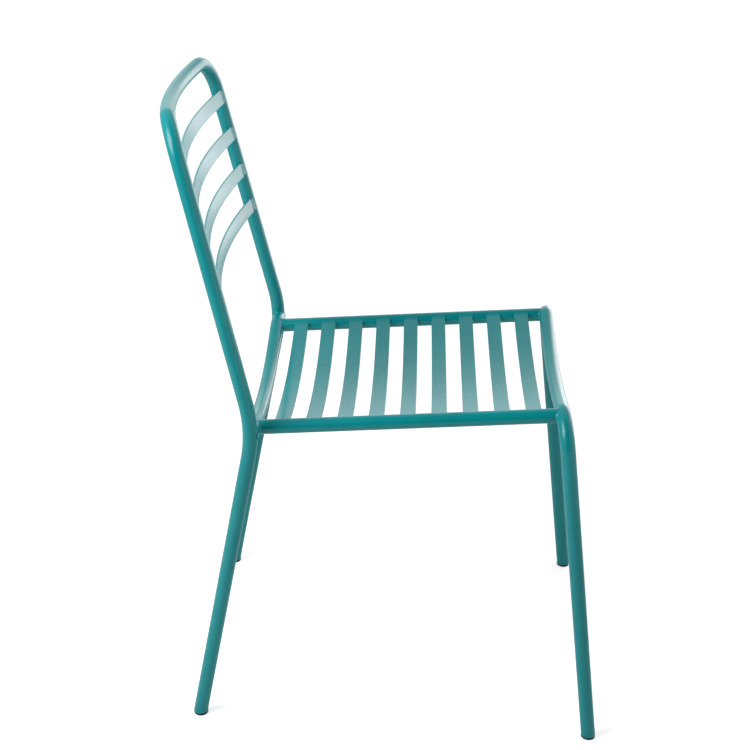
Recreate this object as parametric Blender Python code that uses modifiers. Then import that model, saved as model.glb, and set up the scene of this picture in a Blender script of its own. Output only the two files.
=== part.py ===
"""A welded stacking chair of round steel tube and flat steel bar.

Metres, +Z up. The chair faces -Y, and left is the sitter's left, at +X.
The origin is on the floor, under the middle of the chair's outline.
"""

import math

import bmesh
import bpy
from mathutils import Matrix, Vector

# Tube and bar stock
TUBE_RADIUS = 0.0095
TUBE_WALL = 0.0015
BAR_WIDTH = 0.020
BAR_THICKNESS = 0.003
WELD_GAP = 0.0003

# How finely the tubes are drawn
SIDE_RESOLUTION = 4
ARC_STEPS = 12
CROSS_RAIL_HALF_STEPS = 10
REAR_RAIL_HALF_STEPS = 8
SHARP_ANGLE = math.radians(40)
MERGE_DISTANCE = 1e-5

# The origin's distance in front of the seat datum, along Y
ORIGIN_Y = 0.0264

# Rear hoop: points where its straight runs would meet, then its radii
REAR_FOOT = Vector((0.199, 0.2725 - ORIGIN_Y, 0.0))
REAR_BEND = Vector((0.1975, 0.1945 - ORIGIN_Y, 0.434))
REAR_TOP = Vector((0.174, 0.292 - ORIGIN_Y, 0.821))
REAR_BEND_RADIUS = 0.185
TOP_CORNER_RADIUS = 0.052
TOP_RAIL_BOW = 0.0105

# Front hoop
FRONT_FOOT = Vector((0.221, -0.258 - ORIGIN_Y, 0.0))
FRONT_TOP = Vector((0.202, -0.196 - ORIGIN_Y, 0.467))
FRONT_CORNER_RADIUS = 0.040
FRONT_RAIL_SAG = 0.016

# Side rails, between the rear seat rail and the front hoop
SIDE_RAIL_X = 0.168
SIDE_RAIL_REAR_Z = 0.4252
SIDE_RAIL_FRONT_Z = 0.4564

# Rear seat rail, between the rear legs: level ends, a bend at each, and a sag between them
REAR_RAIL_Y = 0.1976 - ORIGIN_Y
REAR_RAIL_END_Z = 0.428
REAR_RAIL_CORNER_X = 0.1664
REAR_RAIL_SAG_X = 0.153
REAR_RAIL_SAG = 0.0215

# Seat slats, counted from the rear
SEAT_SLATS = 9
SEAT_SLAT_PITCH = 0.04006
SEAT_SLAT_FIRST_Y = 0.1607 - ORIGIN_Y
SEAT_SLAT_DIP = 0.0155
SEAT_SLAT_TOP = 0.007
SEAT_SLAT_STEPS = 14

# Back slats, counted from the top
BACK_SLATS = 4
BACK_SLAT_PITCH = 0.0543
BACK_SLAT_BELOW_TOP = 0.0583
BACK_SLAT_BOW = 0.022
BACK_SLAT_FRONT = 0.008
BACK_SLAT_STEPS = 16

# Foot glides
GLIDE_HEIGHT = 0.003
GLIDE_CHAMFER = 0.0005
GLIDE_STEM_RADIUS = 0.0075
GLIDE_STEM_HEIGHT = 0.022
GLIDE_TIP_INSET = 0.001
GLIDE_TIP_LENGTH = 0.002
GLIDE_SIDES = 24

# Cutters: how far they run past what they cut, and the size of the floor block
OVERRUN = 0.02
CUT_BLOCK_SIZE = 1.0


def clear_scene():
    for old in list(bpy.data.objects):
        bpy.data.objects.remove(old, do_unlink=True)


def collection(name):
    made = bpy.data.collections.new(name)
    bpy.context.scene.collection.children.link(made)
    return made


def material(name, colour, roughness, metallic):
    made = bpy.data.materials.new(name)
    made.use_nodes = True
    shader = made.node_tree.nodes["Principled BSDF"]
    shader.inputs["Base Color"].default_value = (*colour, 1.0)
    shader.inputs["Roughness"].default_value = roughness
    shader.inputs["Metallic"].default_value = metallic
    return made


def fillet(before, corner, after, radius):
    """Points of the arc that rounds a corner between two straight runs."""
    back = (before - corner).normalized()
    on = (after - corner).normalized()
    turn = math.pi - back.angle(on)
    reach = radius * math.tan(turn / 2)
    centre = corner + (back + on).normalized() * (radius / math.cos(turn / 2))
    first = corner + back * reach - centre
    last = corner + on * reach - centre
    points = []
    for step in range(ARC_STEPS + 1):
        part = step / ARC_STEPS
        spoke = first * math.sin((1 - part) * turn) + last * math.sin(part * turn)
        points.append(centre + spoke / math.sin(turn))
    return points


def bowed_corner(foot, corner, radius, bow_direction, bow):
    """Half of a hoop's cross rail: its rounded corner, then a shallow parabola to x = 0."""
    straight_x = corner.x - radius
    slope = 2 * bow / straight_x
    inward = Vector((-1, 0, 0)) + bow_direction * slope
    points = fillet(foot, corner, corner + inward, radius)
    start = corner + inward * (corner.x - straight_x)
    for step in range(1, CROSS_RAIL_HALF_STEPS + 1):
        x = straight_x * (1 - step / CROSS_RAIL_HALF_STEPS)
        rise = bow * (1 - (x / straight_x) ** 2)
        points.append(Vector((x, start.y, start.z)) + bow_direction * rise)
    return points


def mirrored(half):
    """A path that ends at x = 0, carried on to the other side."""
    return half + [Vector((-p.x, p.y, p.z)) for p in reversed(half[:-1])]


def tube_curve(name, points, radius, caps, home):
    data = bpy.data.curves.new(name, "CURVE")
    data.dimensions = "3D"
    data.bevel_depth = radius
    data.bevel_resolution = SIDE_RESOLUTION
    data.use_fill_caps = caps
    spline = data.splines.new("POLY")
    spline.points.add(len(points) - 1)
    for point, place in zip(spline.points, points):
        point.co = (*place, 1.0)
    made = bpy.data.objects.new(name, data)
    home.objects.link(made)
    return made


def mesh_from_curve(curve, name, home):
    """The curve's evaluated tube as a mesh object, its caps welded to its sides."""
    graph = bpy.context.evaluated_depsgraph_get()
    data = bpy.data.meshes.new_from_object(curve.evaluated_get(graph))
    work = bmesh.new()
    work.from_mesh(data)
    bmesh.ops.remove_doubles(work, verts=work.verts, dist=MERGE_DISTANCE)
    bmesh.ops.recalc_face_normals(work, faces=work.faces)
    work.to_mesh(data)
    work.free()
    made = bpy.data.objects.new(name, data)
    made.matrix_world = curve.matrix_world.copy()
    home.objects.link(made)
    bpy.data.objects.remove(curve, do_unlink=True)
    data.shade_smooth()
    data.set_sharp_from_angle(angle=SHARP_ANGLE)
    return made


def solid_round(name, points, radius, home):
    curve = tube_curve(name + "_path", points, radius, True, home)
    return mesh_from_curve(curve, name, home)


def hollow_tube(name, points, home):
    """An open-ended tube: the outer skin, thickened inwards by the wall."""
    curve = tube_curve(name + "_path", points, TUBE_RADIUS, False, home)
    made = mesh_from_curve(curve, name, home)
    wall = made.modifiers.new("wall", "SOLIDIFY")
    wall.thickness = TUBE_WALL
    wall.offset = -1.0
    return made


def as_cutter(obj):
    obj.hide_render = True
    obj.display_type = "WIRE"
    return obj


def cut(obj, cutter):
    modifier = obj.modifiers.new("cut_by_" + cutter.name, "BOOLEAN")
    modifier.operation = "DIFFERENCE"
    modifier.object = cutter
    modifier.solver = "EXACT"


def floor_cutter(height, home):
    """A block that takes away everything below this height."""
    data = bpy.data.meshes.new("floor_cutter")
    work = bmesh.new()
    bmesh.ops.create_cube(work, size=CUT_BLOCK_SIZE)
    bmesh.ops.translate(work, verts=work.verts, vec=(0, 0, height - CUT_BLOCK_SIZE / 2))
    work.to_mesh(data)
    work.free()
    made = bpy.data.objects.new("floor_cutter", data)
    home.objects.link(made)
    return as_cutter(made)


def run_below(foot, above):
    """The leg's line carried on below the floor, so that the floor cut leaves a level end."""
    return foot + (foot - above).normalized() * OVERRUN


def rear_hoop_path():
    upright = (REAR_TOP - REAR_BEND).normalized()
    rearward = Vector((1, 0, 0)).cross(upright).normalized() * -1
    start = run_below(REAR_FOOT, REAR_BEND)
    half = [start] + fillet(REAR_FOOT, REAR_BEND, REAR_TOP, REAR_BEND_RADIUS)
    half += bowed_corner(REAR_BEND, REAR_TOP, TOP_CORNER_RADIUS, rearward, TOP_RAIL_BOW)
    return mirrored(half)


def front_hoop_path():
    down = Vector((0, 0, -1))
    start = run_below(FRONT_FOOT, FRONT_TOP)
    half = [start]
    half += bowed_corner(FRONT_FOOT, FRONT_TOP, FRONT_CORNER_RADIUS, down, FRONT_RAIL_SAG)
    return mirrored(half)


def side_rail_path(side, overrun=0.0):
    """The rail's line between the cross rails' axes, or past them by the overrun."""
    rear = Vector((side * SIDE_RAIL_X, REAR_RAIL_Y, SIDE_RAIL_REAR_Z))
    front = Vector((side * SIDE_RAIL_X, FRONT_TOP.y, SIDE_RAIL_FRONT_Z))
    along = (front - rear).normalized()
    return [rear - along * overrun, front + along * overrun]


def rear_rail_path():
    """The rail's line from one leg's axis to the other's."""
    slope = 2 * REAR_RAIL_SAG / REAR_RAIL_SAG_X
    end = Vector((REAR_BEND.x, REAR_RAIL_Y, REAR_RAIL_END_Z))
    corner = Vector((REAR_RAIL_CORNER_X, REAR_RAIL_Y, REAR_RAIL_END_Z))
    start = corner - Vector((1, 0, slope)) * (REAR_RAIL_CORNER_X - REAR_RAIL_SAG_X)
    radius = (corner - start).length / math.tan(math.atan(slope) / 2)
    half = [end] + fillet(end, corner, start, radius)
    for step in range(1, REAR_RAIL_HALF_STEPS + 1):
        x = REAR_RAIL_SAG_X * (1 - step / REAR_RAIL_HALF_STEPS)
        sag = REAR_RAIL_SAG * (1 - (x / REAR_RAIL_SAG_X) ** 2)
        half.append(Vector((x, REAR_RAIL_Y, start.z - sag)))
    return mirrored(half)


def strip(name, centres, across, thickness, home):
    """A flat bar: an open strip through these points, this wide and thickened one way."""
    data = bpy.data.meshes.new(name)
    work = bmesh.new()
    before = None
    for centre in centres:
        pair = [work.verts.new(centre - across / 2), work.verts.new(centre + across / 2)]
        if before:
            work.faces.new((before[0], before[1], pair[1], pair[0]))
        before = pair
    work.to_mesh(data)
    work.free()
    made = bpy.data.objects.new(name, data)
    home.objects.link(made)
    plate = made.modifiers.new("plate", "SOLIDIFY")
    plate.thickness = thickness
    plate.offset = -1.0
    return made


def seat_slat(number, cutters, home):
    """One bar across the side rails, dipped in the middle, its ends shaped to the rails."""
    rear, front = side_rail_path(1)
    along = (front - rear).normalized()
    y = SEAT_SLAT_FIRST_Y - (number - 1) * SEAT_SLAT_PITCH
    rail_z = rear.z + (front.z - rear.z) * (y - rear.y) / (front.y - rear.y)
    normal = Vector((1, 0, 0)).cross(along)
    if normal.z < 0:
        normal.negate()
    middle = Vector((0, y, rail_z)) + normal * SEAT_SLAT_TOP
    centres = []
    for step in range(SEAT_SLAT_STEPS + 1):
        x = SIDE_RAIL_X * (1 - 2 * step / SEAT_SLAT_STEPS)
        dip = SEAT_SLAT_DIP * (1 - (x / SIDE_RAIL_X) ** 2)
        centres.append(middle + Vector((x, 0, 0)) - normal * dip)
    made = strip(f"seat_slat_{number}", centres, along * -BAR_WIDTH, BAR_THICKNESS, home)
    for cutter in cutters:
        cut(made, cutter)
    return made


def back_slat(number, cutter, home):
    """One bar between the uprights, bowed to the rear, its ends shaped to the tube."""
    upright = REAR_TOP - REAR_BEND
    level = Vector((0, upright.y, upright.z))
    share = 1 - (BACK_SLAT_BELOW_TOP + (number - 1) * BACK_SLAT_PITCH) / level.length
    upward = level.normalized()
    rearward = Vector((0, upward.z, -upward.y))
    reach = REAR_BEND.x + upright.x * share
    middle = Vector((0, REAR_BEND.y, REAR_BEND.z)) + level * share - rearward * BACK_SLAT_FRONT
    centres = []
    for step in range(BACK_SLAT_STEPS + 1):
        x = reach * (1 - 2 * step / BACK_SLAT_STEPS)
        bow = BACK_SLAT_BOW * (1 - (x / reach) ** 2)
        centres.append(middle + Vector((x, 0, 0)) + rearward * bow)
    made = strip(f"back_slat_{number}", centres, upward * BAR_WIDTH, BAR_THICKNESS, home)
    cut(made, cutter)
    return made


def glide(name, foot, above, home):
    """A turned plug, sheared so that its stem follows the leg while its sole stays level."""
    profile = (
        (0.0, GLIDE_STEM_HEIGHT),
        (GLIDE_STEM_RADIUS - GLIDE_TIP_INSET, GLIDE_STEM_HEIGHT),
        (GLIDE_STEM_RADIUS, GLIDE_STEM_HEIGHT - GLIDE_TIP_LENGTH),
        (GLIDE_STEM_RADIUS, GLIDE_HEIGHT),
        (TUBE_RADIUS, GLIDE_HEIGHT),
        (TUBE_RADIUS, GLIDE_CHAMFER),
        (TUBE_RADIUS - GLIDE_CHAMFER, 0.0),
        (0.0, 0.0),
    )
    data = bpy.data.meshes.new(name + "_profile")
    edges = [(i, i + 1) for i in range(len(profile) - 1)]
    data.from_pydata([(r, 0.0, z) for r, z in profile], edges, [])
    turned = bpy.data.objects.new(name + "_turned", data)
    home.objects.link(turned)
    screw = turned.modifiers.new("turn", "SCREW")
    screw.steps = GLIDE_SIDES
    screw.render_steps = GLIDE_SIDES
    screw.use_merge_vertices = True
    screw.merge_threshold = MERGE_DISTANCE
    graph = bpy.context.evaluated_depsgraph_get()
    mesh = bpy.data.meshes.new_from_object(turned.evaluated_get(graph))
    bpy.data.objects.remove(turned, do_unlink=True)
    lean = (above - foot) / (above.z - foot.z)
    shear = Matrix.Identity(4)
    shear[0][2] = lean.x
    shear[1][2] = lean.y
    mesh.transform(shear)
    mesh.shade_smooth()
    mesh.set_sharp_from_angle(angle=SHARP_ANGLE)
    made = bpy.data.objects.new(name, mesh)
    made.location = foot
    home.objects.link(made)
    return made


def build():
    clear_scene()
    chair = collection("stacking_chair")
    cutters = collection("stacking_chair_cutters")
    paint = material("teal_powder_coat", (0.008, 0.178, 0.182), 0.35, 0.0)
    plastic = material("black_polyethylene", (0.012, 0.012, 0.013), 0.5, 0.0)

    clearance = TUBE_RADIUS + WELD_GAP
    floor_cut = floor_cutter(GLIDE_HEIGHT + WELD_GAP, cutters)
    front_cut = as_cutter(solid_round("front_hoop_cutter", front_hoop_path(), clearance, cutters))
    rear_cut = as_cutter(solid_round("rear_hoop_cutter", rear_hoop_path(), clearance, cutters))
    cross_cut = as_cutter(solid_round("rear_rail_cutter", rear_rail_path(), clearance, cutters))
    rail_cuts = []

    painted = []
    for name, path in (("rear_hoop", rear_hoop_path()), ("front_hoop", front_hoop_path())):
        hoop = hollow_tube(name, path, chair)
        cut(hoop, floor_cut)
        painted.append(hoop)

    rear_rail = hollow_tube("rear_seat_rail", rear_rail_path(), chair)
    cut(rear_rail, rear_cut)
    painted.append(rear_rail)

    for label, side in (("left", 1), ("right", -1)):
        rail = hollow_tube(f"side_rail_{label}", side_rail_path(side), chair)
        cut(rail, front_cut)
        cut(rail, cross_cut)
        painted.append(rail)
        long_path = side_rail_path(side, overrun=OVERRUN)
        solid = solid_round(f"side_rail_{label}_cutter", long_path, clearance, cutters)
        rail_cuts.append(as_cutter(solid))

    painted += [seat_slat(n, rail_cuts, chair) for n in range(1, SEAT_SLATS + 1)]
    painted += [back_slat(n, rear_cut, chair) for n in range(1, BACK_SLATS + 1)]
    for obj in painted:
        obj.data.materials.append(paint)

    legs = (("rear", REAR_FOOT, REAR_BEND), ("front", FRONT_FOOT, FRONT_TOP))
    for end, foot, above in legs:
        for label, side in (("left", 1), ("right", -1)):
            mirror = Matrix.Diagonal((side, 1, 1))
            plug = glide(f"foot_glide_{end}_{label}", mirror @ foot, mirror @ above, chair)
            plug.data.materials.append(plastic)


build()
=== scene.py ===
# A welded stacking chair: round steel tube and flat steel bar in a teal powder coat.
# Metres, +Z up. The chair faces -Y, and its left side is at +X.
import math

import bmesh
import bpy
import numpy as np
from mathutils import Matrix, Vector


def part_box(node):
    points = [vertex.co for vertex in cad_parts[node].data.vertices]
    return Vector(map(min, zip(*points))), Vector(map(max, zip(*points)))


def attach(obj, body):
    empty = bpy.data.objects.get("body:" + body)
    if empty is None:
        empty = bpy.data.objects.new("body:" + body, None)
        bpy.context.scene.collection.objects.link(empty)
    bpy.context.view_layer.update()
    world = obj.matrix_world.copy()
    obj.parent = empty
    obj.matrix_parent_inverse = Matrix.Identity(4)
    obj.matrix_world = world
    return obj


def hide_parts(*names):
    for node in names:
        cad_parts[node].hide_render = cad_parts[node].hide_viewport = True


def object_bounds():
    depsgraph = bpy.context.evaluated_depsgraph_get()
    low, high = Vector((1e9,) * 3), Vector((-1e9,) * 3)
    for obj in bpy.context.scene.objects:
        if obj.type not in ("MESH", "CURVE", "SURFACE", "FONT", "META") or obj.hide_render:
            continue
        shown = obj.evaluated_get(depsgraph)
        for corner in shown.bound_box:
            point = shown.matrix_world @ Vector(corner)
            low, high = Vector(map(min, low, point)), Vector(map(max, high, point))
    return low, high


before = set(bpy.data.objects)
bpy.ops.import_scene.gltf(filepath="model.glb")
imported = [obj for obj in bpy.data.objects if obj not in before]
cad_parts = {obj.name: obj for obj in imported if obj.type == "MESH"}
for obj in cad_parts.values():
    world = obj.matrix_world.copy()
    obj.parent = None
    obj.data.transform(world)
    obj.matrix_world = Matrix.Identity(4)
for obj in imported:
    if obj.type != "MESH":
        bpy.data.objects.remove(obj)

cadLow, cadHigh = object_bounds()
scene = bpy.context.scene
scene.view_settings.view_transform = "Standard"
print("frame loaded:", len(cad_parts), "CAD nodes")

# Stock that the whole chair is made from
stock = {
    "tubeRadius": 0.0095,
    "tubeWall": 0.0015,
    "tubeSides": 48,
    "barWidth": 0.020,
    "barThickness": 0.003,
    "barEdgeRadius": 0.0007,
    "weldGap": 0.00005,
}

# Degrees between two faces above which their shared edge is drawn sharp
creases = {"tube": 40, "bar": 50, "weld": 60, "glide": 35}

cameraSetup = {
    "place": (-1.9251, -0.0254, 1.3117),
    "yaw": 1.383,      # degrees from +X towards +Y
    "pitch": 24.677,   # degrees below level
    "roll": 1.280,
    "lens": 73.93,
    "sensor": 36,
}


def makeCamera():
    data = bpy.data.cameras.new("studioCamera")
    data.sensor_width = cameraSetup["sensor"]
    data.lens = cameraSetup["lens"]
    yaw, pitch, roll = (math.radians(cameraSetup[k]) for k in ("yaw", "pitch", "roll"))
    ahead = Vector((math.cos(pitch) * math.cos(yaw), math.cos(pitch) * math.sin(yaw),
                    -math.sin(pitch)))
    right = ahead.cross(Vector((0, 0, 1))).normalized()
    up = right.cross(ahead)
    side = right * math.cos(roll) + up * math.sin(roll)
    top = up * math.cos(roll) - right * math.sin(roll)
    turned = Matrix((side, top, -ahead)).transposed().to_4x4()
    camera = bpy.data.objects.new("studioCamera", data)
    camera.matrix_world = Matrix.Translation(cameraSetup["place"]) @ turned
    scene.collection.objects.link(camera)
    scene.camera = camera


makeCamera()
print("camera made")


def linear(hexColour):
    # sRGB hex, such as "#00797e", to a linear colour with alpha 1
    parts = [int(hexColour[i:i + 2], 16) / 255 for i in (1, 3, 5)]
    return (*(c / 12.92 if c <= 0.04045 else ((c + 0.055) / 1.055) ** 2.4 for c in parts), 1)


def addNode(tree, kind, settings=None, links=None):
    # settings are the node's own properties or its input values, links are input: output socket
    node = tree.nodes.new(kind)
    for key, value in (settings or {}).items():
        if isinstance(key, str) and hasattr(node, key):
            setattr(node, key, value)
        else:
            node.inputs[key].default_value = value
    for key, source in (links or {}).items():
        tree.links.new(source, node.inputs[key])
    return node


# Polyester powder coat, sprayed and oven-cured on steel: a closed satin film, saturated
# face-on and pale at a glancing angle, with a fine orange peel that breaks up highlights.
powderCoat = {
    "colour": "#00858a",
    "colourThin": "#008c90",
    "roughness": (0.24, 0.31),
    "peelSize": 0.0024,     # metres from crest to crest, about the real 2 to 3 mm
    "peelDepth": 0.0000016,
    "grainSize": 0.0006,    # the pigment's own texture
    "cloudSize": 0.06,      # how far apart the film grows thicker and thinner
    "cloudFromTo": (0.35, 0.7),
    "ior": 1.46,
}


def makePowderCoat():
    made = bpy.data.materials.new("tealPolyesterPowderCoat")
    made.use_nodes = True
    tree = made.node_tree
    shader = tree.nodes["Principled BSDF"]
    place = addNode(tree, "ShaderNodeTexCoord").outputs["Object"]
    cloud = addNode(tree, "ShaderNodeTexNoise",
                    {"Scale": 1 / powderCoat["cloudSize"], "Detail": 3.0}, {"Vector": place})
    film = addNode(tree, "ShaderNodeValToRGB", {}, {"Fac": cloud.outputs["Fac"]})
    shades = (powderCoat["colour"], powderCoat["colourThin"])
    for stop, share, shade in zip(film.color_ramp.elements, powderCoat["cloudFromTo"], shades):
        stop.position = share
        stop.color = linear(shade)
    grain = addNode(tree, "ShaderNodeTexNoise",
                    {"Scale": 1 / powderCoat["grainSize"], "Detail": 2.0}, {"Vector": place})
    low, high = powderCoat["roughness"]
    gloss = addNode(tree, "ShaderNodeMapRange", {"To Min": low, "To Max": high},
                    {"Value": grain.outputs["Fac"]})
    peel = addNode(tree, "ShaderNodeTexNoise",
                   {"Scale": 1 / powderCoat["peelSize"], "Detail": 1.0, "Roughness": 0.4},
                   {"Vector": place})
    bump = addNode(tree, "ShaderNodeBump", {"Strength": 1.0, "Distance": powderCoat["peelDepth"]},
                   {"Height": peel.outputs["Fac"]})
    tree.links.new(film.outputs["Color"], shader.inputs["Base Color"])
    tree.links.new(gloss.outputs["Result"], shader.inputs["Roughness"])
    tree.links.new(bump.outputs["Normal"], shader.inputs["Normal"])
    shader.inputs["IOR"].default_value = powderCoat["ior"]
    return made


# Low-density polyethylene, injection moulded: a dull black with a soft waxy highlight and
# the faint spark texture of its mould, scuffed where it meets the floor.
glidePlastic = {
    "colour": "#141516",
    "scuffed": "#2c2d2e",
    "roughness": (0.42, 0.6),
    "sparkSize": 0.0004,
    "sparkDepth": 0.00001,
    "scuffHeight": 0.0012,
}


def makePolyethylene():
    made = bpy.data.materials.new("blackMouldedPolyethylene")
    made.use_nodes = True
    tree = made.node_tree
    shader = tree.nodes["Principled BSDF"]
    place = addNode(tree, "ShaderNodeTexCoord").outputs["Object"]
    spark = addNode(tree, "ShaderNodeTexNoise",
                    {"Scale": 1 / glidePlastic["sparkSize"], "Detail": 3.0}, {"Vector": place})
    height = addNode(tree, "ShaderNodeSeparateXYZ", {}, {"Vector": place})
    worn = addNode(tree, "ShaderNodeMapRange",
                   {"From Min": 0.0, "From Max": glidePlastic["scuffHeight"],
                    "To Min": 1.0, "To Max": 0.0}, {"Value": height.outputs["Z"]})
    scuff = addNode(tree, "ShaderNodeMath", {"operation": "MULTIPLY"},
                    {0: worn.outputs["Result"], 1: spark.outputs["Fac"]})
    colour = addNode(tree, "ShaderNodeMix", {"data_type": "RGBA"}, {0: scuff.outputs[0]})
    colour.inputs[6].default_value = linear(glidePlastic["colour"])
    colour.inputs[7].default_value = linear(glidePlastic["scuffed"])
    low, high = glidePlastic["roughness"]
    gloss = addNode(tree, "ShaderNodeMapRange", {"To Min": low, "To Max": high},
                    {"Value": spark.outputs["Fac"]})
    bump = addNode(tree, "ShaderNodeBump", {"Distance": glidePlastic["sparkDepth"]},
                   {"Height": spark.outputs["Fac"]})
    tree.links.new(colour.outputs[2], shader.inputs["Base Color"])
    tree.links.new(gloss.outputs["Result"], shader.inputs["Roughness"])
    tree.links.new(bump.outputs["Normal"], shader.inputs["Normal"])
    return made


paint = makePowderCoat()
plastic = makePolyethylene()
print("materials made")


def newObject(name, data):
    made = bpy.data.objects.new(name, data)
    scene.collection.objects.link(made)
    return made


def newNodeTree(name, inputs):
    # a Geometry Nodes tree with a geometry in and out, and these named inputs
    tree = bpy.data.node_groups.new(name, "GeometryNodeTree")
    tree.interface.new_socket("Geometry", in_out="INPUT", socket_type="NodeSocketGeometry")
    for label, kind in inputs.items():
        tree.interface.new_socket(label, in_out="INPUT", socket_type="NodeSocket" + kind)
    tree.interface.new_socket("Geometry", in_out="OUTPUT", socket_type="NodeSocketGeometry")
    return tree, tree.nodes.new("NodeGroupInput").outputs


def endTree(tree, geometry, material):
    real = addNode(tree, "GeometryNodeRealizeInstances", {}, {"Geometry": geometry})
    smooth = addNode(tree, "GeometryNodeSetShadeSmooth", {}, {"Geometry": real.outputs[0]})
    done = addNode(tree, "GeometryNodeSetMaterial", {},
                   {"Geometry": smooth.outputs[0], "Material": material})
    addNode(tree, "NodeGroupOutput", {}, {0: done.outputs[0]})
    return tree


def meshFromTree(name, tree, source, values):
    # runs a tree on an object, and gives its result as a plain mesh object
    modifier = source.modifiers.new(tree.name, "NODES")
    modifier.node_group = tree
    for item in tree.interface.items_tree:
        if item.in_out == "INPUT" and item.name in values:
            modifier[item.identifier] = values[item.name]
    source.update_tag()
    graph = bpy.context.evaluated_depsgraph_get()
    mesh = bpy.data.meshes.new_from_object(source.evaluated_get(graph))
    bpy.data.objects.remove(source, do_unlink=True)
    mesh.name = name
    return newObject(name, mesh)


def tubeTree():
    tree, given = newNodeTree("tubeAlongPath", {"Radius": "Float", "Sides": "Int",
                                                "Material": "Material"})
    ring = addNode(tree, "GeometryNodeCurvePrimitiveCircle", {},
                   {"Resolution": given["Sides"], "Radius": given["Radius"]})
    skin = addNode(tree, "GeometryNodeCurveToMesh", {},
                   {"Curve": given["Geometry"], "Profile Curve": ring.outputs["Curve"]})
    return endTree(tree, skin.outputs[0], given["Material"])


def barTree():
    # flat bars, bowed to a parabola, in a row that may narrow from one to the next
    tree, given = newNodeTree("bowedBars", {
        "Half Length": "Float", "End Height": "Float", "Middle Height": "Float",
        "Width": "Float", "Thickness": "Float", "Edge Radius": "Float", "Steps": "Int",
        "Count": "Int", "First": "Vector", "Pitch": "Vector", "Turn": "Vector",
        "Narrowing": "Float", "Material": "Material"})
    minus = addNode(tree, "ShaderNodeMath", {"operation": "MULTIPLY", 1: -1.0},
                    {0: given["Half Length"]})
    ends = [addNode(tree, "ShaderNodeCombineXYZ", {}, {"X": x, "Z": given["End Height"]})
            for x in (given["Half Length"], minus.outputs[0])]
    middle = addNode(tree, "ShaderNodeCombineXYZ", {}, {"Z": given["Middle Height"]})
    line = addNode(tree, "GeometryNodeCurveQuadraticBezier", {},
                   {"Resolution": given["Steps"], "Start": ends[0].outputs[0],
                    "Middle": middle.outputs[0], "End": ends[1].outputs[0]})
    level = addNode(tree, "GeometryNodeSetCurveNormal", {"mode": "Z_UP"},
                    {"Curve": line.outputs[0]})
    section = addNode(tree, "GeometryNodeCurvePrimitiveQuadrilateral", {},
                      {"Width": given["Width"], "Height": given["Thickness"]})
    eased = addNode(tree, "GeometryNodeFilletCurve", {"mode": "POLY", "Count": 4},
                    {"Curve": section.outputs[0], "Radius": given["Edge Radius"]})
    bar = addNode(tree, "GeometryNodeCurveToMesh", {"Fill Caps": True},
                  {"Curve": level.outputs[0], "Profile Curve": eased.outputs[0]})
    row = addNode(tree, "GeometryNodeMeshLine", {"mode": "OFFSET"},
                  {"Count": given["Count"], "Start Location": given["First"],
                   "Offset": given["Pitch"]})
    turn = addNode(tree, "FunctionNodeEulerToRotation", {}, {"Euler": given["Turn"]})
    number = addNode(tree, "GeometryNodeInputIndex")
    lost = addNode(tree, "ShaderNodeMath", {"operation": "MULTIPLY"},
                   {0: number.outputs[0], 1: given["Narrowing"]})
    share = addNode(tree, "ShaderNodeMath", {"operation": "ADD", 1: 1.0}, {0: lost.outputs[0]})
    scale = addNode(tree, "ShaderNodeCombineXYZ", {"Y": 1.0, "Z": 1.0}, {"X": share.outputs[0]})
    placed = addNode(tree, "GeometryNodeInstanceOnPoints", {},
                     {"Points": row.outputs[0], "Instance": bar.outputs[0],
                      "Rotation": turn.outputs[0], "Scale": scale.outputs[0]})
    return endTree(tree, placed.outputs[0], given["Material"])


tubeNodes = tubeTree()
barNodes = barTree()


def pathObject(name, points):
    data = bpy.data.curves.new(name, "CURVE")
    data.dimensions = "3D"
    spline = data.splines.new("POLY")
    spline.points.add(len(points) - 1)
    for point, place in zip(spline.points, points):
        point.co = (*place, 1)
    return newObject(name, data)


def sweepTube(name, points):
    return meshFromTree(name, tubeNodes, pathObject(name + "Path", points),
                        {"Radius": stock["tubeRadius"], "Sides": stock["tubeSides"],
                         "Material": paint})


def giveWall(obj):
    # thickens an open skin inwards, so that the tube is hollow with a real rim
    wall = obj.modifiers.new("tubeWall", "SOLIDIFY")
    wall.thickness = stock["tubeWall"]
    wall.offset = -1
    graph = bpy.context.evaluated_depsgraph_get()
    mesh = bpy.data.meshes.new_from_object(obj.evaluated_get(graph))
    mesh.set_sharp_from_angle(angle=math.radians(creases["tube"]))
    obj.modifiers.clear()
    obj.data = mesh


def finishPiece(obj, slot, *nodes):
    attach(obj, "root")
    if nodes:
        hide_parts(*nodes)


# How many straight pieces each stretch of a tube's path has
pathSteps = {"legBend": 24, "corner": 28, "halfCrossRail": 24, "railBend": 12, "halfRearRail": 28,
             "sideRail": 24}
legOverrun = 0.02      # how far a leg's path runs on below its foot, to be cut off level


def arcPoints(before, corner, after, radius, steps):
    # the arc that rounds a corner between two straight runs
    back = (before - corner).normalized()
    on = (after - corner).normalized()
    turn = math.pi - back.angle(on)
    reach = radius * math.tan(turn / 2)
    centre = corner + (back + on).normalized() * (radius / math.cos(turn / 2))
    first = corner + back * reach - centre
    last = corner + on * reach - centre
    return [centre + (first * math.sin((1 - i / steps) * turn) + last * math.sin(i / steps * turn))
            / math.sin(turn) for i in range(steps + 1)]


def crossRail(foot, corner, radius, bowWay, bow):
    # half of a hoop's cross rail: the rounded corner, then a shallow parabola to the middle
    straight = corner.x - radius
    inward = Vector((-1, 0, 0)) + bowWay * (2 * bow / straight)
    points = arcPoints(foot, corner, corner + inward, radius, pathSteps["corner"])
    start = corner + inward * radius
    for i in range(1, pathSteps["halfCrossRail"] + 1):
        x = straight * (1 - i / pathSteps["halfCrossRail"])
        points.append(Vector((x, start.y, start.z)) + bowWay * bow * (1 - (x / straight) ** 2))
    return points


def mirrored(half):
    return half + [Vector((-p.x, p.y, p.z)) for p in reversed(half[:-1])]


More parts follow.
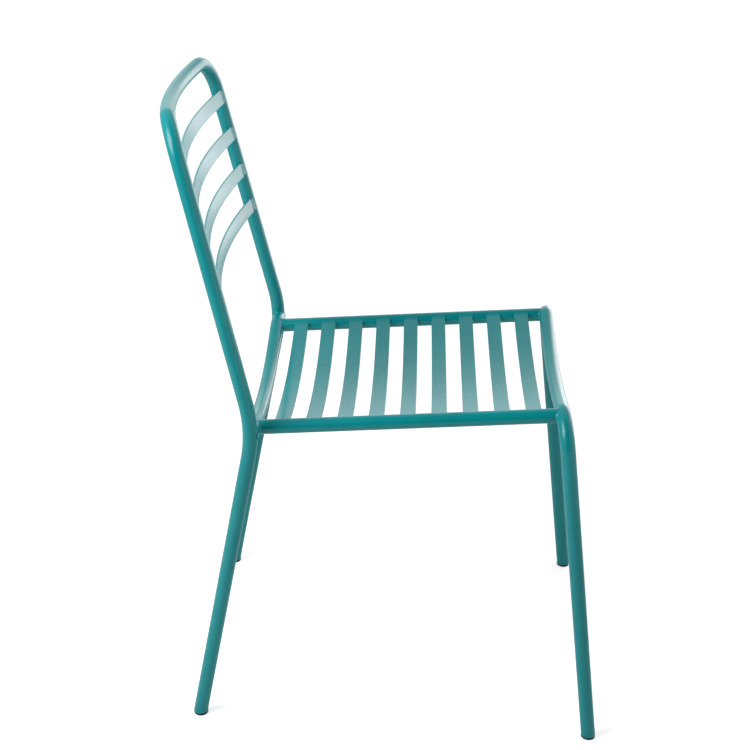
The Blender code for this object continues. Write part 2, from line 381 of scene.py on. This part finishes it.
def legStart(foot, above):
    return foot + (foot - above).normalized() * legOverrun


def footPoint(glide):
    # the middle of a glide's sole, at the height of the floor
    low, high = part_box(glide)
    return Vector(((low.x + high.x) / 2, (low.y + high.y) / 2, low.z))


# The bent tubes: where their straight runs would meet, at the left side
rearHoop = {
    "foot": Vector((0.199, 0.2461, 0)),
    "bend": Vector((0.1975, 0.1681, 0.434)),
    "top": Vector((0.174, 0.2656, 0.821)),
    "bendRadius": 0.185,
    "cornerRadius": 0.052,
    "bow": 0.0105,
}
frontHoop = {
    "foot": Vector((0.221, -0.2844, 0)),
    "top": Vector((0.202, -0.2224, 0.467)),
    "cornerRadius": 0.040,
    "sag": 0.016,
}
rearRail = {
    "reach": 0.1975,       # from the chair's middle to the leg's axis
    "y": 0.1712,
    "endHeight": 0.428,
    "cornerX": 0.1664,     # the middle of the bend between the level end and the sag
    "sagX": 0.153,
    "sag": 0.0215,
}
sideRail = {"x": 0.168, "rear": 0.4252, "front": 0.4564}


def rearHoopPath():
    foot, bend, top = (rearHoop[k] for k in ("foot", "bend", "top"))
    upright = (top - bend).normalized()
    rearward = -Vector((1, 0, 0)).cross(upright).normalized()
    half = [legStart(foot, bend)]
    half += arcPoints(foot, bend, top, rearHoop["bendRadius"], pathSteps["legBend"])
    half += crossRail(bend, top, rearHoop["cornerRadius"], rearward, rearHoop["bow"])
    return mirrored(half)


def frontHoopPath():
    foot, top = frontHoop["foot"], frontHoop["top"]
    half = [legStart(foot, top)]
    half += crossRail(foot, top, frontHoop["cornerRadius"], Vector((0, 0, -1)), frontHoop["sag"])
    return mirrored(half)


def railLine(reach):
    # level ends, a gentle bend at each, and a shallow parabola between them
    half, sag, y = rearRail["sagX"], rearRail["sag"], rearRail["y"]
    slope = 2 * sag / half
    corner = Vector((rearRail["cornerX"], y, rearRail["endHeight"]))
    start = corner - Vector((1, 0, slope)) * (corner.x - half)
    end = Vector((reach, y, corner.z))
    radius = (corner - start).length / math.tan(math.atan(slope) / 2)
    points = [end] + arcPoints(end, corner, start, radius, pathSteps["railBend"])
    for i in range(1, pathSteps["halfRearRail"] + 1):
        share = 1 - i / pathSteps["halfRearRail"]
        points.append(Vector((half * share, y, start.z - sag * (1 - share ** 2))))
    return mirrored(points)


rearPath = rearHoopPath()
frontPath = frontHoopPath()
rearRailPath = railLine(rearRail["reach"])

# Where one tube or bar runs on until it touches another tube
meeting = {
    "tries": 80,
    "step": 0.9,            # share of the gap that each try closes
    "touch": 0.00001,       # how near counts as touching
    "ringReach": 0.02,      # points of an end ring lie no further than this from its middle
}


def nearestOn(path, points):
    # for each point, the nearest point on a path's straight pieces
    a = np.array(path[:-1], float)
    run = np.array(path[1:], float) - a
    p = np.asarray(points, float)[:, None, :]
    share = np.clip(((p - a) * run).sum(2) / (run * run).sum(1), 0, 1)
    spots = a + run * share[..., None]
    best = ((p - spots) ** 2).sum(2).argmin(1)
    return spots[np.arange(len(best)), best]


def runUpTo(path, points, way, most):
    # moves points along a way until they touch the tube round that path, or by the most allowed
    clear = stock["tubeRadius"] + stock["weldGap"]
    points = np.asarray(points, float)
    way = np.asarray(way, float)
    gone = np.zeros(len(points))
    for _ in range(meeting["tries"]):
        here = points + way * gone[:, None]
        gap = np.linalg.norm(here - nearestOn(path, here), axis=1) - clear
        gone = np.clip(gone + gap * meeting["step"], 0, most)
    here = points + way * gone[:, None]
    gap = np.linalg.norm(here - nearestOn(path, here), axis=1) - clear
    return here, np.abs(gap) < meeting["touch"]


def copeEnd(mesh, near, way, path, most):
    # shapes the end of a tube or bar, whose last ring lies at this point, to fit a tube
    co = np.array([v.co for v in mesh.vertices])
    flat = np.abs((co - np.array(near)) @ np.array(way)) < meeting["touch"]
    close = np.linalg.norm(co - np.array(near), axis=1) < meeting["ringReach"]
    ring = np.nonzero(flat & close)[0]
    moved, _ = runUpTo(path, co[ring], way, most)
    for i, place in zip(ring, moved):
        mesh.vertices[int(i)].co = place
    mesh.update()


def cutLevel(obj, height):
    work = bmesh.new()
    work.from_mesh(obj.data)
    bmesh.ops.bisect_plane(work, geom=work.verts[:] + work.edges[:] + work.faces[:],
                           plane_co=(0, 0, height), plane_no=(0, 0, 1), clear_inner=True)
    work.to_mesh(obj.data)
    work.free()


# Fillet welds, laid along the lines where the tubes and bars meet
weld = {
    "leg": 0.0024,        # how far the fillet reaches over each surface
    "tangent": 0.9,       # no bead where the two skins run closer together than this cosine
    "openFrom": 0.5,      # a full bead where 1 less that cosine is above this, slimmer below it
    "slimmest": 0.2,
    "slatLeg": 0.0042,
    "slatInset": 0.0005,  # how far a slat's bead stops short of the bar's edges
    "lift": 0.16,         # how much fuller than hollow its face is
    "ripple": 0.05,       # share of the leg
    "rippleLength": 0.0024,
    "sink": 0.00012,      # how far its edges lie under the surfaces
    "root": 0.0004,       # how far its root lies under the corner
    "facets": 8,
    "tubeStations": 96,
    "slatStations": 21,
    "tubeEndShare": 0.08,  # share of a bead's length over which its end tapers off
    "slatEndShare": 0.15,
    "leastTaper": 0.08,
    "seed": 7,
}
weldRandom = np.random.default_rng(weld["seed"])


def unit(v):
    return v / np.maximum(np.linalg.norm(v, axis=-1, keepdims=True), 1e-12)


def closedStrip(loops, cyclic):
    # a closed body from cross-sections: stations x points x 3
    stations, count = loops.shape[:2]
    faces = []
    for i in range(stations if cyclic else stations - 1):
        j = (i + 1) % stations
        for k in range(count):
            m = (k + 1) % count
            faces.append((i * count + k, i * count + m, j * count + m, j * count + k))
    if not cyclic:
        faces.append(tuple(range(count - 1, -1, -1)))
        faces.append(tuple((stations - 1) * count + k for k in range(count)))
    points = loops.reshape(-1, 3)
    volume = 0.0
    for face in faces:
        for k in range(1, len(face) - 1):
            a, b, c = points[face[0]], points[face[k]], points[face[k + 1]]
            volume += float(np.dot(a, np.cross(b, c)))
    if volume < 0:
        faces = [tuple(reversed(face)) for face in faces]
    return points, faces


def bead(corner, firstNormal, firstWay, hoop, leg, cyclic, taper):
    # a fillet along the corner points, from a first surface onto the tube round a path
    centre = nearestOn(hoop, corner)
    tubeNormal = unit(corner - centre)
    if cyclic:
        along = np.roll(corner, -1, 0) - np.roll(corner, 1, 0)
    else:
        along = np.gradient(corner, axis=0)
    over = unit(np.cross(tubeNormal, unit(along)))
    sign = np.sign((over * (firstNormal - firstWay)).sum(1))
    over = over * np.where(sign == 0, 1, sign)[:, None]
    length = np.r_[0, np.cumsum(np.linalg.norm(np.diff(corner, axis=0), axis=1))]
    phase = weldRandom.uniform(0, 2 * math.pi)
    wave = np.sin(length / weld["rippleLength"] * 2 * math.pi + phase)
    size = leg * (1 + weld["ripple"] * wave) * taper
    size = size[:, None]
    onFirst = corner + firstWay * size - firstNormal * weld["sink"]
    onTube = corner + over * size
    spot = nearestOn(hoop, onTube)
    onTube = spot + unit(onTube - spot) * (stock["tubeRadius"] - weld["sink"])
    outward = unit(firstNormal + tubeNormal)
    middle = corner + outward * size * weld["lift"]
    section = []
    for k in range(weld["facets"] + 1):
        t = k / weld["facets"]
        section.append(onFirst * (1 - t) ** 2 + middle * 2 * t * (1 - t) + onTube * t ** 2)
    section.append(corner - outward * weld["root"])
    return closedStrip(np.stack(section, 1), cyclic)


def beadObject(name, parts):
    points, faces, count = [], [], 0
    for somePoints, someFaces in parts:
        points += [tuple(p) for p in somePoints]
        faces += [tuple(i + count for i in face) for face in someFaces]
        count += len(somePoints)
    mesh = bpy.data.meshes.new(name)
    mesh.from_pydata(points, [], faces)
    mesh.materials.append(paint)
    mesh.shade_smooth()
    mesh.set_sharp_from_angle(angle=math.radians(creases["weld"]))
    return newObject(name, mesh)


def endTaper(count, share):
    t = np.linspace(0, 1, count)
    near = np.clip(np.minimum(t, 1 - t) / share, 0, 1)
    return np.maximum(np.sqrt(near * (2 - near)), weld["leastTaper"])


def tubeBead(start, way, hoop, reach):
    # the weld round the end of a tube that runs from a start along a way into a hoop
    way = Vector(way).normalized()
    side = way.cross(Vector((0, 0, 1))).normalized()
    down = way.cross(side).normalized()
    if down.z > 0:
        down.negate()
    # from the underside round
    angles = np.linspace(0, 2 * math.pi, weld["tubeStations"], endpoint=False)
    normal = np.cos(angles)[:, None] * np.array(down) + np.sin(angles)[:, None] * np.array(side)
    generators = np.array(start) + normal * stock["tubeRadius"]
    corner, touched = runUpTo(hoop, generators, way, reach)
    facing = (normal * unit(corner - nearestOn(hoop, corner))).sum(1)
    good = touched & (facing < weld["tangent"])
    if not good.all():
        # keep the longest run of good stations
        doubled = np.r_[good, good]
        best, run, first = (0, 0), 0, 0
        for i, ok in enumerate(doubled):
            run = run + 1 if ok else 0
            if run > best[1]:
                best = (i - run + 1, run)
        pick = [(best[0] + k) % len(good) for k in range(min(best[1], len(good)))]
        corner, normal, facing = corner[pick], normal[pick], facing[pick]
        taper = endTaper(len(pick), weld["tubeEndShare"])
    else:
        taper = np.ones(len(good))
    back = np.tile(-np.array(way), (len(corner), 1))
    room = np.clip((1 - facing) / weld["openFrom"], weld["slimmest"], 1)
    return bead(corner, normal, back, hoop, weld["leg"], bool(good.all()), taper * np.sqrt(room))


def barBead(middle, acrossWay, way, face, hoop, spare):
    # the weld along a bar's face where its end meets a tube, past the bar's edges by the spare
    shares = np.linspace(-0.5, 0.5, weld["slatStations"])
    width = stock["barWidth"] + 2 * (spare - weld["slatInset"])
    line = np.array(middle) + shares[:, None] * np.array(acrossWay) * width
    corner, _ = runUpTo(hoop, line, way, clearOfRail)
    normal = np.tile(np.array(face), (len(line), 1))
    back = np.tile(-np.array(way), (len(line), 1))
    taper = endTaper(len(line), weld["slatEndShare"])
    return bead(corner, normal, back, hoop, weld["slatLeg"], False, taper)


def makeHoop(name, path, node):
    hoop = sweepTube(name, path)
    cutLevel(hoop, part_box(node)[0].z)
    giveWall(hoop)
    finishPiece(hoop, "powder_coat", node)


makeHoop("rearHoop", rearPath, "rear_hoop")
makeHoop("frontHoop", frontPath, "front_hoop")
print("hoops bent")


# Rails between the hoops
railWelds = []
clearOfTube = 0.016    # where a rail's plain length stops, short of the tube's axis
rearRailReach = 0.02   # how far the rear rail's ends may run on from there to meet the legs


def makeRearRail():
    path = railLine(rearRail["reach"] - clearOfTube)
    rail = sweepTube("rearSeatRail", path)
    for near, inside in ((path[0], path[1]), (path[-1], path[-2])):
        way = (near - inside).normalized()
        copeEnd(rail.data, near, way, rearPath, rearRailReach)
        railWelds.append(tubeBead(near, way, rearPath, rearRailReach))
    giveWall(rail)
    finishPiece(rail, "powder_coat", "rear_seat_rail")


def railEnds(side):
    rear = Vector((side * sideRail["x"], rearRail["y"], sideRail["rear"]))
    front = Vector((side * sideRail["x"], frontHoop["top"].y, sideRail["front"]))
    return rear, front


def makeSideRail(label, side):
    rear, front = railEnds(side)
    along = (front - rear).normalized()
    first, last = rear + along * clearOfTube, front - along * clearOfTube
    path = [first.lerp(last, i / pathSteps["sideRail"])
            for i in range(pathSteps["sideRail"] + 1)]
    rail = sweepTube("sideRail" + label, path)
    for near, way, hoop in ((first, -along, rearRailPath), (last, along, frontPath)):
        copeEnd(rail.data, near, way, hoop, clearOfTube)
        railWelds.append(tubeBead(near, way, hoop, clearOfTube))
    giveWall(rail)
    finishPiece(rail, "powder_coat", "side_rail_" + label.lower())


makeRearRail()
makeSideRail("Left", 1)
makeSideRail("Right", -1)
finishPiece(beadObject("railWelds", railWelds), "powder_coat")
print("rails and their welds made:", len(railWelds), "beads")


# Flat bars, laid over the side rails and ahead of the uprights
seatSlats = {
    "count": 9,
    "pitch": 0.04006,
    "firstY": 0.1343,
    "dip": 0.0155,
    "aboveRail": 0.007,   # from the rail's axis to the bar's top face
    "steps": 48,
    "spareWeld": {1: 0.003},   # how far a numbered slat's top beads run past its edges
    "railOverrun": 0.03,       # how far the rails' lines run on for the slats to meet
}
backSlats = {
    "count": 4,
    "pitch": 0.0543,
    "belowTop": 0.0583,
    "bow": 0.022,
    "aheadOfAxis": 0.008,   # from the upright's axis to the bar's front face
    "steps": 48,
}
clearOfRail = 0.0115   # where a bar's plain length stops, short of the tube's axis


def splitBars(row, names):
    # one object for each bar: the tree lays them end to end in the mesh
    co = np.array([v.co for v in row.data.vertices])
    each = len(co) // len(names)
    polygons = [tuple(p.vertices) for p in row.data.polygons]
    bars = []
    for i, name in enumerate(names):
        faces = [tuple(v - i * each for v in p) for p in polygons if p[0] // each == i]
        mesh = bpy.data.meshes.new(name)
        mesh.from_pydata([tuple(p) for p in co[i * each:(i + 1) * each]], [], faces)
        mesh.materials.append(paint)
        mesh.shade_smooth()
        bars.append(newObject(name, mesh))
    bpy.data.objects.remove(row, do_unlink=True)
    return bars


def makeBars(name, sizes, halfLength, bow, first, pitch, turn, narrowing, names):
    # the plain part of each bar is a parabola that stops short of the tube's axis
    plain = halfLength - clearOfRail
    skin = stock["barThickness"] / 2
    endHeight = -skin - bow * (1 - (plain / halfLength) ** 2)
    middleHeight = 2 * (-skin - bow) - endHeight
    blank = newObject(name + "Blank", bpy.data.meshes.new(name + "Blank"))
    row = meshFromTree(name + "Row", barNodes, blank, {
        "Half Length": plain, "End Height": endHeight, "Middle Height": middleHeight,
        "Width": stock["barWidth"], "Thickness": stock["barThickness"],
        "Edge Radius": stock["barEdgeRadius"], "Steps": sizes["steps"], "Count": sizes["count"],
        "First": tuple(first), "Pitch": tuple(pitch), "Turn": turn, "Narrowing": narrowing,
        "Material": paint})
    return splitBars(row, names), plain, endHeight


def weldBar(bar, middle, turned, plain, endHeight, bow, halfLength, hoops, spare):
    # shapes both ends of a bar to its tubes, and gives the beads on its two faces
    slope = 2 * bow * plain / halfLength ** 2
    beads = []
    for side, hoop in zip((1, -1), hoops):
        near = Vector((side * plain, 0, endHeight))
        way = Vector((side, 0, slope)).normalized()
        face = Vector((-side * slope, 0, 1)).normalized()
        copeEnd(bar.data, middle + turned @ near, turned @ way, hoop, clearOfRail)
        for up in (1, -1):
            start = near + face * up * stock["barThickness"] / 2
            beads.append(barBead(middle + turned @ start, turned @ Vector((0, 1, 0)),
                                 turned @ way, turned @ (face * up), hoop,
                                 spare if up == 1 else 0))
    bar.data.set_sharp_from_angle(angle=math.radians(creases["bar"]))
    return beads


def makeSeatSlats():
    rear, front = railEnds(1)
    along = (front - rear).normalized()
    normal = Vector((0, along.z, -along.y))
    turnAngle = -math.asin(normal.y)
    turned = Matrix.Rotation(turnAngle, 3, "X")
    stepY = -seatSlats["pitch"]
    pitch = Vector((0, stepY, stepY * along.z / along.y))
    firstZ = rear.z + (front.z - rear.z) * (seatSlats["firstY"] - rear.y) / (front.y - rear.y)
    first = Vector((0, seatSlats["firstY"], firstZ)) + normal * seatSlats["aboveRail"]
    names = ["seatSlat%d" % (i + 1) for i in range(seatSlats["count"])]
    bars, plain, endHeight = makeBars("seatSlats", seatSlats, sideRail["x"], seatSlats["dip"],
                                      first, pitch, (turnAngle, 0, 0), 0.0, names)
    extra = along * seatSlats["railOverrun"]
    paths = [[a - extra, b + extra] for a, b in (railEnds(1), railEnds(-1))]
    beads = []
    for i, bar in enumerate(bars):
        beads += weldBar(bar, first + pitch * i, turned, plain, endHeight, seatSlats["dip"],
                         sideRail["x"], paths, seatSlats["spareWeld"].get(i + 1, 0))
        finishPiece(bar, "powder_coat", "seat_slat_%d" % (i + 1))
    finishPiece(beadObject("seatSlatWelds", beads), "powder_coat")


def makeBackSlats():
    run = rearHoop["top"] - rearHoop["bend"]
    level = Vector((0, run.y, run.z))
    upward = level.normalized()
    behind = Vector((0, upward.z, -upward.y))
    turnAngle = math.acos(upward.y)
    turned = Matrix.Rotation(turnAngle, 3, "X")
    share = 1 - backSlats["belowTop"] / level.length
    shareStep = -backSlats["pitch"] / level.length
    halfLength = rearHoop["bend"].x + run.x * share
    narrowing = run.x * shareStep / halfLength
    first = (Vector((0, rearHoop["bend"].y, rearHoop["bend"].z)) + level * share
             - behind * backSlats["aheadOfAxis"])
    names = ["backSlat%d" % (i + 1) for i in range(backSlats["count"])]
    bars, plain, endHeight = makeBars("backSlats", backSlats, halfLength, backSlats["bow"],
                                      first, level * shareStep, (turnAngle, 0, 0), narrowing,
                                      names)
    beads = []
    for i, bar in enumerate(bars):
        wider = 1 + narrowing * i
        beads += weldBar(bar, first + level * shareStep * i, turned, plain * wider, endHeight,
                         backSlats["bow"], halfLength * wider, (rearPath, rearPath), 0)
        finishPiece(bar, "powder_coat", "back_slat_%d" % (i + 1))
    finishPiece(beadObject("backSlatWelds", beads), "powder_coat")


makeSeatSlats()
makeBackSlats()
print("slats and their welds made")


# Foot glides: moulded plugs pressed into the open ends of the legs
glide = {
    "soleRadius": 0.0095,
    "soleHeight": 0.003,
    "edgeRadius": 0.0008,
    "collarEdge": 0.0003,
    "gateRadius": 0.0014,
    "gateDepth": 0.0004,
    "gateEdge": 0.0002,
    "stemRadius": 0.0069,
    "neckFillet": 0.0004,
    "ribRadius": 0.0078,
    "ribs": (0.0075, 0.0115, 0.0155),
    "ribStep": 0.0002,
    "ribLand": 0.0006,
    "ribRise": 0.0022,
    "stemHeight": 0.022,
    "tip": 0.0012,
    "sides": 48,
    "edgeSteps": 6,
}


def glideProfile():
    # radius and height, from the middle of the sole round to the top of the stem
    sole, top, edge = glide["soleRadius"], glide["soleHeight"], glide["edgeRadius"]
    gate, stem, rib = glide["gateRadius"], glide["stemRadius"], glide["ribRadius"]
    collar, neck = glide["collarEdge"], glide["neckFillet"]
    points = [(gate, glide["gateDepth"]), (gate + glide["gateEdge"], 0.0)]
    for i in range(glide["edgeSteps"] + 1):
        angle = math.pi / 2 * i / glide["edgeSteps"]
        points.append((sole - edge + edge * math.sin(angle), edge - edge * math.cos(angle)))
    points += [(sole, top - collar), (sole - collar, top), (stem + neck, top), (stem, top + neck)]
    for height in glide["ribs"]:   # each rib is a barb: a sharp step, then a slow slope
        points += [(stem, height - glide["ribStep"]), (rib, height),
                   (rib, height + glide["ribLand"]), (stem, height + glide["ribRise"])]
    end, tip = glide["stemHeight"], glide["tip"]
    return points + [(stem, end - tip), (stem - tip, end)]


def makeGlide(name, node, hoop, sideSign):
    foot = footPoint(node)
    above = hoop.get("bend", hoop["top"])
    lean = (above - hoop["foot"]) / above.z   # the stem follows the leg, while the sole is level
    leanX, leanY = lean.x * sideSign, lean.y
    profile = glideProfile()
    points, faces, n = [], [], glide["sides"]
    for radius, height in profile:
        for k in range(n):
            a = 2 * math.pi * k / n
            points.append((foot.x + radius * math.cos(a) + leanX * height,
                           foot.y + radius * math.sin(a) + leanY * height, foot.z + height))
    for i in range(len(profile) - 1):
        for k in range(n):
            m = (k + 1) % n
            faces.append((i * n + k, i * n + m, (i + 1) * n + m, (i + 1) * n + k))
    faces.append(tuple(range(n - 1, -1, -1)))
    last = (len(profile) - 1) * n
    faces.append(tuple(last + k for k in range(n)))
    mesh = bpy.data.meshes.new(name)
    mesh.from_pydata(points, [], faces)
    mesh.materials.append(plastic)
    mesh.shade_smooth()
    mesh.set_sharp_from_angle(angle=math.radians(creases["glide"]))
    finishPiece(newObject(name, mesh), "glide_plastic", node)


for end, hoop in (("Rear", rearHoop), ("Front", frontHoop)):
    for label, sign in (("Left", 1), ("Right", -1)):
        makeGlide("footGlide" + end + label, "foot_glide_%s_%s" % (end.lower(), label.lower()),
                  hoop, sign)
print("glides made")


# The studio: a bright cyclorama in front and on the left, a dark room beyond the right side,
# and two soft boxes. The floor and the backdrop are a clean white where they are looked at,
# while the chair is lit by their real, greyer brightness.
studio = {
    "floorColour": "#d5d5d5",
    "floorRadius": 1.4,
    "floorSides": 96,
    "floorDrop": 0.0003,             # how far it lies under the glides
    "floorGlow": 0.58,
    "backdrop": 1.1,
    "sky": 0.74,
    "frontAndRear": (1.4, 0.45),     # the sky's share towards the front and the rear
    "darkSide": (-0.75, 0.0, 0.66),  # the middle of the dark part of the room
    "darkNarrowing": -0.6,           # how much sooner it ends towards the front and the rear
    "darkFromTo": (0.22, 0.58),
    "darkShare": 0.03,
    "wallGlow": 0.85,                # the lit wall behind the chair's left side
    "wallSide": (0.99, -0.14, 0.0),
    "wallFromTo": (0.76, 0.99),
    "wallHeight": 0.10,              # sine of the angle above level
    "wallSpread": (0.46, 0.08),
}


def makeFloor():
    mesh = bpy.data.meshes.new("studioFloor")
    n, radius, height = studio["floorSides"], studio["floorRadius"], cadLow.z - studio["floorDrop"]
    angles = [2 * math.pi * k / n for k in range(n)]
    rim = [(radius * math.cos(a), radius * math.sin(a), height) for a in angles]
    mesh.from_pydata(rim, [], [tuple(range(n))])
    floor = newObject("studioFloor", mesh)
    made = bpy.data.materials.new("mattWhiteFloor")
    made.use_nodes = True
    tree = made.node_tree
    shader = tree.nodes["Principled BSDF"]
    shader.inputs["Base Color"].default_value = linear(studio["floorColour"])
    shader.inputs["Roughness"].default_value = 0.9
    shader.inputs["Specular IOR Level"].default_value = 0.1
    shader.inputs["Emission Color"].default_value = (1, 1, 1, 1)
    seen = addNode(tree, "ShaderNodeLightPath").outputs["Is Camera Ray"]
    glow = addNode(tree, "ShaderNodeMath", {"operation": "MULTIPLY", 1: studio["floorGlow"]},
                   {0: seen})
    tree.links.new(glow.outputs[0], shader.inputs["Emission Strength"])
    mesh.materials.append(made)


def makeSky():
    world = bpy.data.worlds.new("studioSky")
    scene.world = world
    world.use_nodes = True
    tree = world.node_tree
    way = addNode(tree, "ShaderNodeTexCoord").outputs["Generated"]
    split = addNode(tree, "ShaderNodeSeparateXYZ", {}, {"Vector": way})
    front, rear = studio["frontAndRear"]
    depth = addNode(tree, "ShaderNodeMapRange",
                    {"From Min": -1.0, "From Max": 1.0, "To Min": front, "To Max": rear},
                    {"Value": split.outputs["Y"]})
    towards = addNode(tree, "ShaderNodeVectorMath", {"operation": "DOT_PRODUCT"}, {0: way})
    towards.inputs[1].default_value = studio["darkSide"]
    sideways = addNode(tree, "ShaderNodeMath", {"operation": "ABSOLUTE"}, {0: split.outputs["Y"]})
    inDark = addNode(tree, "ShaderNodeMath",
                     {"operation": "MULTIPLY_ADD", 1: studio["darkNarrowing"]},
                     {0: sideways.outputs[0], 2: towards.outputs["Value"]})
    start, full = studio["darkFromTo"]
    dark = addNode(tree, "ShaderNodeMapRange",
                   {"interpolation_type": "SMOOTHSTEP", "From Min": start, "From Max": full,
                    "To Min": studio["sky"], "To Max": studio["sky"] * studio["darkShare"]},
                   {"Value": inDark.outputs[0]})
    room = addNode(tree, "ShaderNodeMath", {"operation": "MULTIPLY"},
                   {0: depth.outputs[0], 1: dark.outputs[0]})
    along = addNode(tree, "ShaderNodeVectorMath", {"operation": "DOT_PRODUCT"}, {0: way})
    along.inputs[1].default_value = studio["wallSide"]
    start, full = studio["wallFromTo"]
    width = addNode(tree, "ShaderNodeMapRange",
                    {"interpolation_type": "SMOOTHSTEP", "From Min": start, "From Max": full,
                     "To Min": 0.0, "To Max": studio["wallGlow"]},
                    {"Value": along.outputs["Value"]})
    off = addNode(tree, "ShaderNodeMath", {"operation": "SUBTRACT", 1: studio["wallHeight"]},
                  {0: split.outputs["Z"]})
    size = addNode(tree, "ShaderNodeMath", {"operation": "ABSOLUTE"}, {0: off.outputs[0]})
    gone, full = studio["wallSpread"]
    height = addNode(tree, "ShaderNodeMapRange",
                     {"interpolation_type": "SMOOTHSTEP", "From Min": full, "From Max": gone,
                      "To Min": 1.0, "To Max": 0.0}, {"Value": size.outputs[0]})
    strength = addNode(tree, "ShaderNodeMath", {"operation": "MULTIPLY_ADD"},
                       {0: width.outputs[0], 1: height.outputs[0], 2: room.outputs[0]})
    light = tree.nodes["Background"]
    light.inputs["Color"].default_value = (1, 1, 1, 1)
    tree.links.new(strength.outputs[0], light.inputs["Strength"])
    backdrop = addNode(tree, "ShaderNodeBackground",
                       {"Color": (1, 1, 1, 1), "Strength": studio["backdrop"]})
    seen = addNode(tree, "ShaderNodeLightPath").outputs["Is Camera Ray"]
    either = addNode(tree, "ShaderNodeMixShader", {},
                     {0: seen, 1: light.outputs[0], 2: backdrop.outputs[0]})
    tree.links.new(either.outputs[0], tree.nodes["World Output"].inputs["Surface"])


# each soft box: its middle, what it faces, width and height, watts, and colour
softBoxes = {
    "keyBox": ((-0.84, 1.26, 1.48), (-0.1, 0.2, 0.6), (1.05, 1.25), 33, "#ffffff"),
    "frontBox": ((2.8, -2.25, 0.8), (0, 0, 0.5), (3.3, 2.2), 50, "#fff4f5"),
}


def makeSoftBox(name, place, target, size, power, colour):
    data = bpy.data.lights.new(name, "AREA")
    data.shape = "RECTANGLE"
    data.size, data.size_y = size
    data.energy = power
    data.color = linear(colour)[:3]
    light = newObject(name, data)
    light.visible_camera = False
    facing = (Vector(target) - Vector(place)).to_track_quat("-Z", "Y")
    light.matrix_world = Matrix.Translation(place) @ facing.to_matrix().to_4x4()


makeFloor()
makeSky()
for boxName, setting in softBoxes.items():
    makeSoftBox(boxName, *setting)
print("studio lit")
